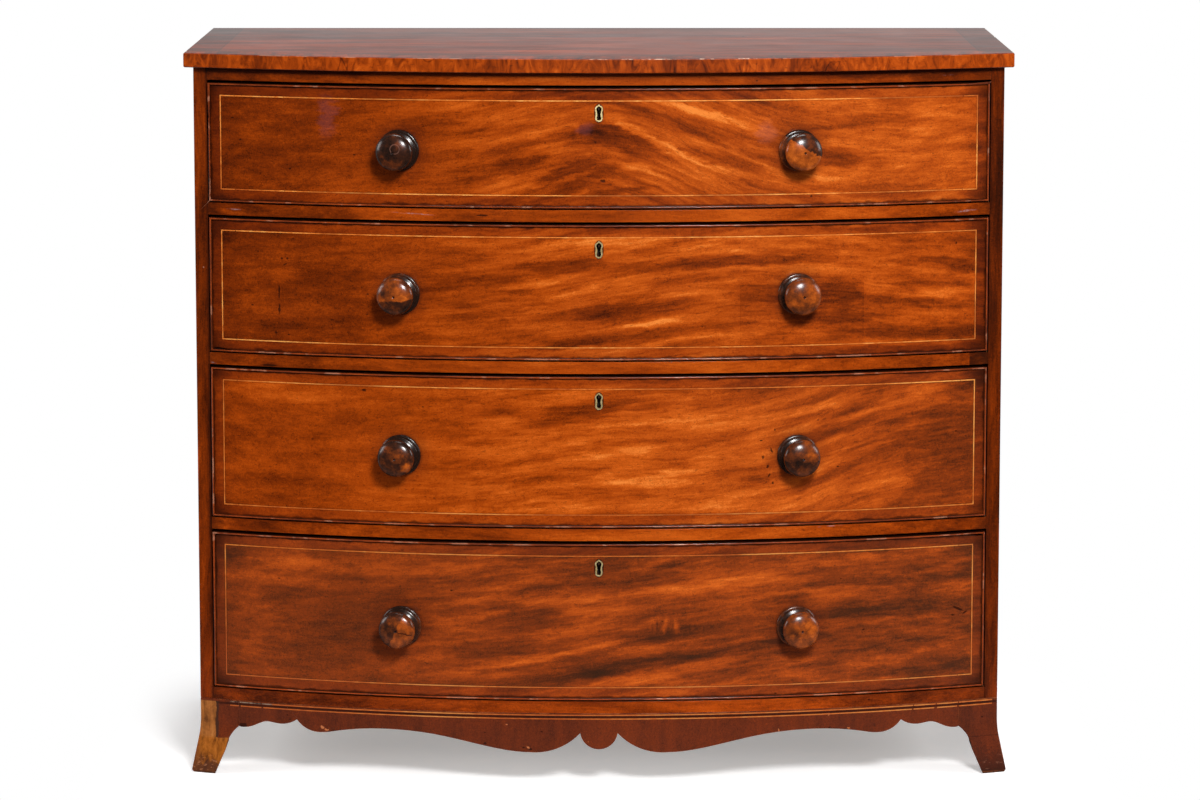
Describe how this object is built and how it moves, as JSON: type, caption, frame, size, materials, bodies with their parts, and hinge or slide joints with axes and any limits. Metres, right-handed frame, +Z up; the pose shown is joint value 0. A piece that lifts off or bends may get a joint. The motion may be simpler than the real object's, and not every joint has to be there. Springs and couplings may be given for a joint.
{
  "type": "bow front chest of drawers",
  "caption": "Bow front chest with full-width sliding drawers, cockbeaded fronts, turned wooden knobs, scalloped apron and splayed bracket feet.",
  "frame": {"origin": "on the floor, in the middle of the bounding box of the whole chest with its knobs", "axes": "+X to the right seen from the front, -Y to the front where the drawers come out, +Z up"},
  "size_m": [1.08, 0.5736, 0.9551],
  "materials": {
    "polished_mahogany": "french polished, aged",
    "flame_mahogany": "figured veneer, french polished",
    "cockbead_mahogany": "polished",
    "turned_mahogany": "dark polish, turned",
    "aged_oak": "bare, dry",
    "carcase_pine": "bare, dry, darkened",
    "old_brass": "tarnished",
    "lock_iron": "aged iron",
    "bolt_steel": "worn"
  },
  "bodies": {
    "carcase": {"top_board": "polished_mahogany", "left_side": "polished_mahogany", "right_side": "polished_mahogany", "back_boards": "carcase_pine", "top_rails": "polished_mahogany", "divider_rail_1": "polished_mahogany", "divider_rail_2": "polished_mahogany", "divider_rail_3": "polished_mahogany", "base_rail": "polished_mahogany", "base_board": "carcase_pine", "dust_boards": "carcase_pine", "drawer_runners": "carcase_pine", "drawer_stops": "carcase_pine", "apron": "polished_mahogany", "front_left_foot": "polished_mahogany", "front_right_foot": "polished_mahogany", "rear_left_foot": "polished_mahogany", "rear_right_foot": "polished_mahogany", "side_skirts": "polished_mahogany", "glue_blocks": "carcase_pine"},
    "drawer_1": {"drawer_1_front": "flame_mahogany", "drawer_1_left_side": "aged_oak", "drawer_1_right_side": "aged_oak", "drawer_1_back": "aged_oak", "drawer_1_bottom": "aged_oak", "drawer_1_cockbead": "cockbead_mahogany", "drawer_1_knobs": "turned_mahogany", "drawer_1_escutcheon": "old_brass", "drawer_1_lock": "lock_iron"},
    "lock_bolt_1": {"drawer_1_lock_bolt": "bolt_steel"},
    "drawer_2": {"drawer_2_front": "flame_mahogany", "drawer_2_left_side": "aged_oak", "drawer_2_right_side": "aged_oak", "drawer_2_back": "aged_oak", "drawer_2_bottom": "aged_oak", "drawer_2_cockbead": "cockbead_mahogany", "drawer_2_knobs": "turned_mahogany", "drawer_2_escutcheon": "old_brass", "drawer_2_lock": "lock_iron"},
    "lock_bolt_2": {"drawer_2_lock_bolt": "bolt_steel"},
    "drawer_3": {"drawer_3_front": "flame_mahogany", "drawer_3_left_side": "aged_oak", "drawer_3_right_side": "aged_oak", "drawer_3_back": "aged_oak", "drawer_3_bottom": "aged_oak", "drawer_3_cockbead": "cockbead_mahogany", "drawer_3_knobs": "turned_mahogany", "drawer_3_escutcheon": "old_brass", "drawer_3_lock": "lock_iron"},
    "lock_bolt_3": {"drawer_3_lock_bolt": "bolt_steel"},
    "drawer_4": {"drawer_4_front": "flame_mahogany", "drawer_4_left_side": "aged_oak", "drawer_4_right_side": "aged_oak", "drawer_4_back": "aged_oak", "drawer_4_bottom": "aged_oak", "drawer_4_cockbead": "cockbead_mahogany", "drawer_4_knobs": "turned_mahogany", "drawer_4_escutcheon": "old_brass", "drawer_4_lock": "lock_iron"},
    "lock_bolt_4": {"drawer_4_lock_bolt": "bolt_steel"}
  },
  "joints": [
    {"name": "drawer_1_slide", "type": "slide", "parent": "carcase", "child": "drawer_1", "axis": [0, -1, 0], "range_m": [0, 0.4]},
    {"name": "lock_bolt_1_slide", "type": "slide", "parent": "drawer_1", "child": "lock_bolt_1", "axis": [0, 0, 1], "range_m": [0, 0.008]},
    {"name": "drawer_2_slide", "type": "slide", "parent": "carcase", "child": "drawer_2", "axis": [0, -1, 0], "range_m": [0, 0.4]},
    {"name": "lock_bolt_2_slide", "type": "slide", "parent": "drawer_2", "child": "lock_bolt_2", "axis": [0, 0, 1], "range_m": [0, 0.008]},
    {"name": "drawer_3_slide", "type": "slide", "parent": "carcase", "child": "drawer_3", "axis": [0, -1, 0], "range_m": [0, 0.4]},
    {"name": "lock_bolt_3_slide", "type": "slide", "parent": "drawer_3", "child": "lock_bolt_3", "axis": [0, 0, 1], "range_m": [0, 0.008]},
    {"name": "drawer_4_slide", "type": "slide", "parent": "carcase", "child": "drawer_4", "axis": [0, -1, 0], "range_m": [0, 0.4]},
    {"name": "lock_bolt_4_slide", "type": "slide", "parent": "drawer_4", "child": "lock_bolt_4", "axis": [0, 0, 1], "range_m": [0, 0.008]}
  ]
}
